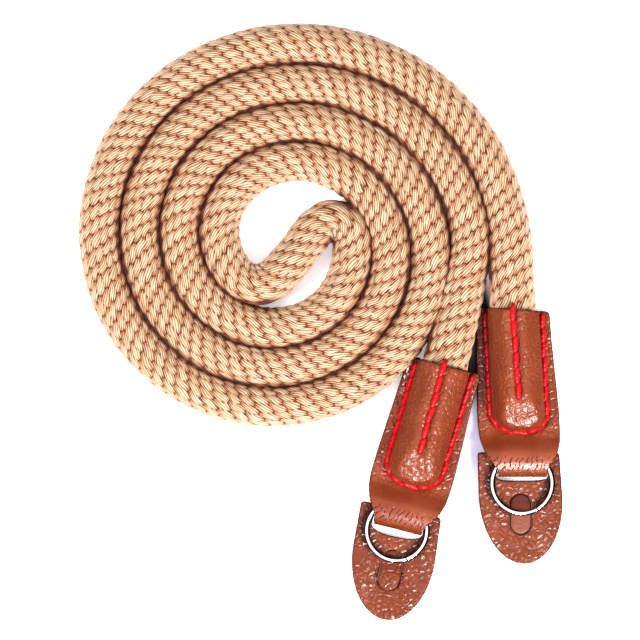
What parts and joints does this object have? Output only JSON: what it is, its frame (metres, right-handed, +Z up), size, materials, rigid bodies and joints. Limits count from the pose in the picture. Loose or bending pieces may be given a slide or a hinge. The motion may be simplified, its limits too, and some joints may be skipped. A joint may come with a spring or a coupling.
{
  "type": "camera neck strap",
  "caption": "Round braided rope camera strap laid in a flat two-strand spiral, with leather ends, split rings and leather protector tabs.",
  "frame": {"origin": "on the table, at the middle of the footprint of the two leather ends with their rings and tabs", "axes": "+Z up from the table; +Y along the leather ends, from the tabs towards the rope; +X to the right as the picture shows the strap"},
  "size_m": [0.12, 0.1482, 0.0128],
  "materials": {
    "rope_yarn": "shiny golden tan braided yarn",
    "brown_leather": "glossy pebble-grained brown leather",
    "chromed_steel": "polished chrome"
  },
  "bodies": {
    "strap": {"rope": "rope_yarn", "leather_end_left": "brown_leather", "leather_end_right": "brown_leather", "tab_left": "brown_leather", "tab_right": "brown_leather"},
    "ring_left": {"split_ring_left": "chromed_steel"},
    "ring_right": {"split_ring_right": "chromed_steel"}
  },
  "joints": [
    {"name": "ring_left_turn", "type": "hinge", "parent": "strap", "child": "ring_left", "pos_m": [-0.01514, -0.01657, 0.00355], "axis": [-0.0127, -0.0581, 0.9982], "continuous": true},
    {"name": "ring_right_turn", "type": "hinge", "parent": "strap", "child": "ring_right", "pos_m": [0.01625, -0.00471, 0.00341], "axis": [0, -0.0595, 0.9982], "continuous": true}
  ]
}
